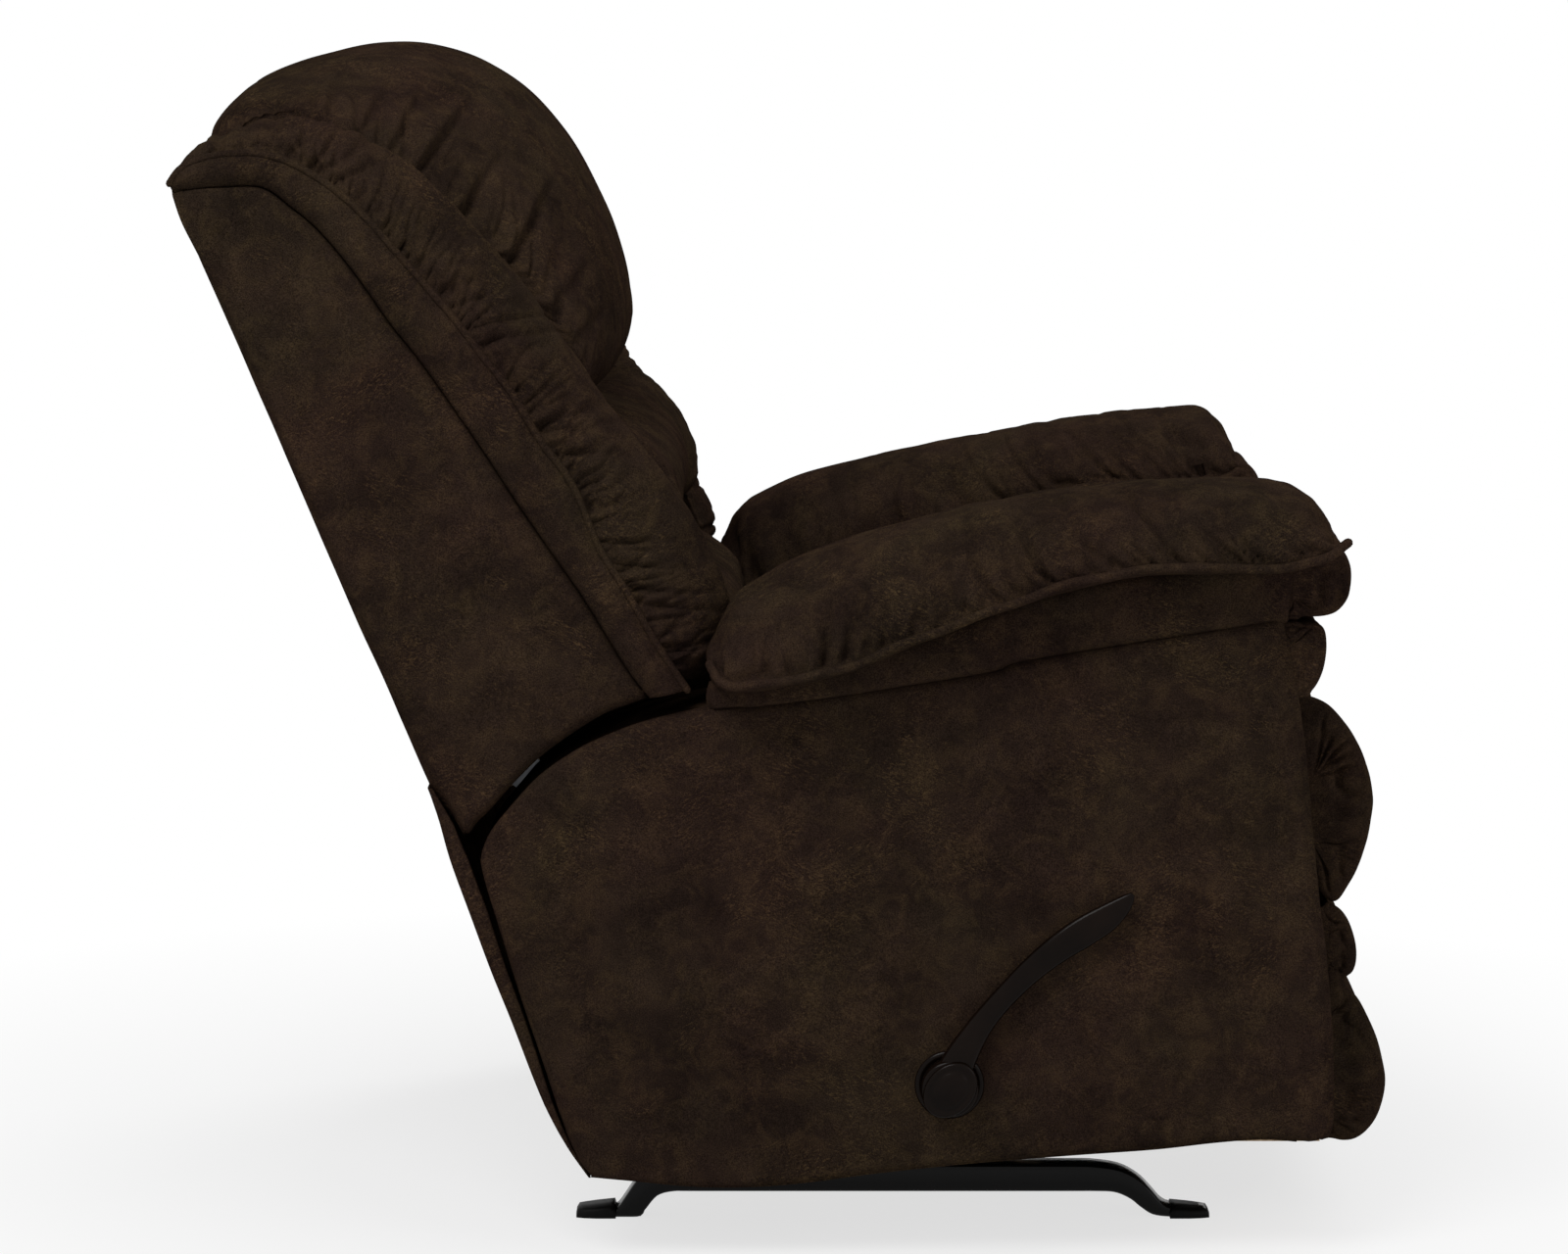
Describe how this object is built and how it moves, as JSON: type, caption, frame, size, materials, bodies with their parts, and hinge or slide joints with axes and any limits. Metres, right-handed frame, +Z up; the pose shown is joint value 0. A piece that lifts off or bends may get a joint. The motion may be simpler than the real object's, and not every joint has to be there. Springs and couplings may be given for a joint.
{
  "type": "rocker recliner",
  "caption": "Upholstered rocker recliner with pillow arms, a three-part back, a side lever, a fold-out footrest and a steel rocking base.",
  "frame": {"origin": "on the floor under the middle of the chair's bounding box, with the back upright and the footrest closed", "axes": "+X the way the sitter faces, +Y to the sitter's left, +Z up"},
  "size_m": [1.0823, 0.99, 1.062],
  "materials": {
    "upholstery": "dark brown mottled suede-like cloth",
    "wood": "bare plywood and pine",
    "black_steel": "black gloss paint",
    "zinc_steel": "zinc plated",
    "glide_plastic": "black",
    "handle_plastic": "dark brown"
  },
  "bodies": {
    "base": {"base_rail_right": "black_steel", "base_rail_left": "black_steel", "base_cross_front": "black_steel", "base_cross_rear": "black_steel", "base_feet": "glide_plastic", "rocker_springs": "zinc_steel"},
    "frame": {"rocker_cam_right": "black_steel", "rocker_cam_left": "black_steel", "mechanism_plate_right": "black_steel", "mechanism_plate_left": "black_steel", "arm_outer_panel_right": "upholstery", "arm_outer_panel_left": "upholstery", "arm_inner_panel_right": "upholstery", "arm_inner_panel_left": "upholstery", "arm_frame_right": "wood", "arm_frame_left": "wood", "arm_band_right": "upholstery", "arm_band_left": "upholstery", "arm_pad_right": "upholstery", "arm_pad_left": "upholstery", "arm_front_pad_right": "upholstery", "arm_front_pad_left": "upholstery", "front_rail": "wood", "rear_rail": "wood", "stretcher": "black_steel", "mechanism_bolts": "zinc_steel", "rear_flap": "upholstery", "handle_escutcheon": "handle_plastic"},
    "back": {"back_frame": "wood", "back_side_panel_right": "upholstery", "back_side_panel_left": "upholstery", "back_outer_panel": "upholstery", "back_wing_right": "upholstery", "back_wing_left": "upholstery", "head_pillow": "upholstery", "middle_lumbar_pillow": "upholstery", "lower_lumbar_pillow": "upholstery", "recline_brackets": "zinc_steel"},
    "seat": {"seat_side_rail_right": "wood", "seat_side_rail_left": "wood", "seat_front_rail": "wood", "seat_rear_rail": "wood", "seat_springs": "zinc_steel", "seat_cushion": "upholstery"},
    "swing_links": {"swing_link_right": "zinc_steel", "swing_link_left": "zinc_steel"},
    "reach_links": {"reach_link_right": "zinc_steel", "reach_link_left": "zinc_steel"},
    "footrest": {"footrest_board": "wood", "footrest_pad": "upholstery", "footrest_bracket_right": "zinc_steel", "footrest_bracket_left": "zinc_steel"},
    "guide_links": {"guide_link_right": "zinc_steel", "guide_link_left": "zinc_steel"},
    "board_links": {"board_link_right": "zinc_steel", "board_link_left": "zinc_steel"},
    "handle": {"drive_tube": "zinc_steel", "handle_lever": "handle_plastic", "handle_cap": "handle_plastic"},
    "drive_rods": {"drive_links": "zinc_steel"}
  },
  "joints": [
    {"name": "rock", "type": "hinge", "parent": "base", "child": "frame", "pos_m": [0.086, 0, 0.4101], "axis": [0, 1, 0], "range_deg": [-9, 6], "stiffness_Nm_per_rad": 800, "springref_deg": 6.19, "deforming": ["rocker_springs"]},
    {"name": "back_recline", "type": "hinge", "parent": "frame", "child": "back", "pos_m": [-0.069, 0, 0.286], "axis": [0, -1, 0], "range_deg": [0, 35], "deforming": ["rear_flap"]},
    {"name": "seat_slide", "type": "slide", "parent": "frame", "child": "seat", "axis": [0.9903, 0, 0.1392], "range_m": [0, 0.05]},
    {"name": "footrest_swing", "type": "hinge", "parent": "frame", "child": "swing_links", "pos_m": [0.405, 0, 0.262], "axis": [0, -1, 0], "range_deg": [0, 134.8]},
    {"name": "footrest_reach", "type": "hinge", "parent": "swing_links", "child": "reach_links", "pos_m": [0.27477, 0, 0.15273], "axis": [0, -1, 0], "range_deg": [-108.4, 0]},
    {"name": "footrest_level", "type": "hinge", "parent": "reach_links", "child": "footrest", "pos_m": [0.44, 0, 0.225], "axis": [0, -1, 0], "range_deg": [0, 63.6]},
    {"name": "footrest_guide", "type": "hinge", "parent": "frame", "child": "guide_links", "pos_m": [0.375, 0, 0.263], "axis": [0, -1, 0], "range_deg": [0, 136]},
    {"name": "board_swing", "type": "hinge", "parent": "guide_links", "child": "board_links", "pos_m": [0.2389, 0, 0.1353], "axis": [0, -1, 0], "range_deg": [-112.1, 0]},
    {"name": "handle_turn", "type": "hinge", "parent": "frame", "child": "handle", "pos_m": [0.131, 0, 0.158], "axis": [0, -1, 0], "range_deg": [0, 80.1]},
    {"name": "drive_swing", "type": "hinge", "parent": "handle", "child": "drive_rods", "pos_m": [0.16997, 0, 0.1355], "axis": [0, -1, 0], "range_deg": [-85.3, 0]}
  ],
  "couplings": [
    {"joint": "seat_slide", "follows": "back_recline", "m_per_rad": 0.08184},
    {"joint": "footrest_reach", "follows": "footrest_swing", "ratio": -0.80367},
    {"joint": "footrest_level", "follows": "footrest_swing", "ratio": 0.47122},
    {"joint": "footrest_guide", "follows": "footrest_swing", "ratio": 1.008},
    {"joint": "board_swing", "follows": "footrest_swing", "ratio": -0.83072},
    {"joint": "handle_turn", "follows": "footrest_swing", "ratio": 0.59337},
    {"joint": "drive_swing", "follows": "footrest_swing", "ratio": -0.63194}
  ]
}
